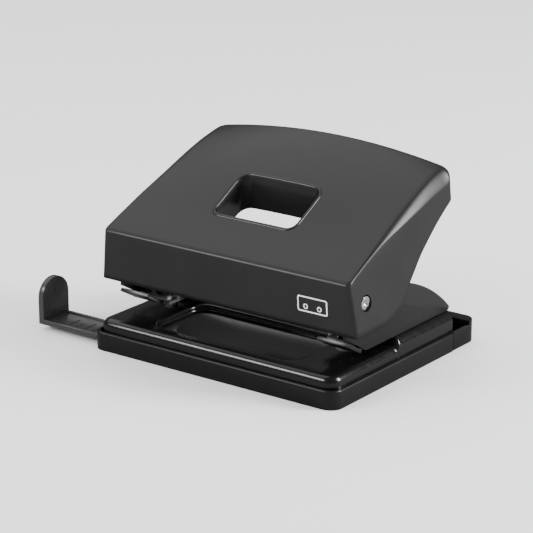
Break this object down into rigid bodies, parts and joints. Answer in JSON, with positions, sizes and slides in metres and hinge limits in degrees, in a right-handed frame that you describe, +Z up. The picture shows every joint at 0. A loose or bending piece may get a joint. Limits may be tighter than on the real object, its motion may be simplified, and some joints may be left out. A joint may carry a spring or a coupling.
{
  "type": "hole punch",
  "caption": "Two-hole desk punch with a wide hinged lever, finger window, steel base with paper slot, chip tray and a sliding paper guide.",
  "frame": {"origin": "centre of the base's underside, on the table plane", "axes": "+X to the user's right, +Y to the rear, +Z up; the paper goes in along +Y"},
  "size_m": [0.1452, 0.0952, 0.0772],
  "materials": {
    "gloss_black_steel": "gloss black enamel",
    "black_plastic": "fine matt moulding",
    "pad_rubber": "matt",
    "black_steel": "semi-gloss black enamel",
    "rivet_steel": "bright zinc",
    "hard_steel": "ground",
    "zinc_steel": "zinc plated",
    "clip_steel": "phosphated",
    "spring_wire": "bright drawn wire",
    "pivot_chrome": "polished",
    "washer_nylon": "natural",
    "satin_black": "satin black",
    "collar_plastic": "fine matt moulding",
    "screw_steel": "zinc plated",
    "smoke_plastic": "smoky, slightly translucent"
  },
  "bodies": {
    "base": {"base_shell": "gloss_black_steel", "chip_tray": "black_plastic", "anti_slip_pads": "pad_rubber", "side_bracket_left": "black_steel", "side_bracket_right": "black_steel", "bracket_rivets": "rivet_steel", "die_left": "hard_steel", "die_right": "hard_steel", "pin_guide_left": "zinc_steel", "pin_guide_right": "zinc_steel", "guide_rivets": "rivet_steel", "pin_spring_left": "spring_wire", "pin_spring_right": "spring_wire", "pivot_pin_left": "pivot_chrome", "pivot_pin_right": "pivot_chrome", "pivot_washer_left": "washer_nylon", "pivot_washer_right": "washer_nylon", "guide_spring": "spring_wire"},
    "lever": {"lever_cover": "satin_black", "window_collar": "collar_plastic", "press_arm_left": "zinc_steel", "press_arm_right": "zinc_steel", "arm_screws": "screw_steel"},
    "pin_left": {"punch_pin_left": "hard_steel", "pin_clip_left": "clip_steel"},
    "pin_right": {"punch_pin_right": "hard_steel", "pin_clip_right": "clip_steel"},
    "guide": {"paper_guide": "smoke_plastic"},
    "door": {"chip_door": "black_plastic"}
  },
  "joints": [
    {"name": "lever_hinge", "type": "hinge", "parent": "base", "child": "lever", "pos_m": [0, -0.0301, 0.0362], "axis": [-1, 0, 0], "range_deg": [0, 18.9], "stiffness_Nm_per_rad": 1.2, "springref_deg": -11.46},
    {"name": "pin_left_slide", "type": "slide", "parent": "base", "child": "pin_left", "axis": [0, 0, -1], "range_m": [0, 0.00506], "deforming": ["pin_spring_left"]},
    {"name": "pin_right_slide", "type": "slide", "parent": "base", "child": "pin_right", "axis": [0, 0, -1], "range_m": [0, 0.00506], "deforming": ["pin_spring_right"]},
    {"name": "guide_slide", "type": "slide", "parent": "base", "child": "guide", "axis": [-1, 0, 0], "range_m": [-0.026, 0.0646]},
    {"name": "door_slide", "type": "slide", "parent": "base", "child": "door", "axis": [0, 1, 0], "range_m": [0, 0.015]}
  ],
  "couplings": [
    {"joint": "pin_left_slide", "follows": "lever_hinge", "m_per_rad": 0.0153},
    {"joint": "pin_right_slide", "follows": "lever_hinge", "m_per_rad": 0.0153}
  ]
}
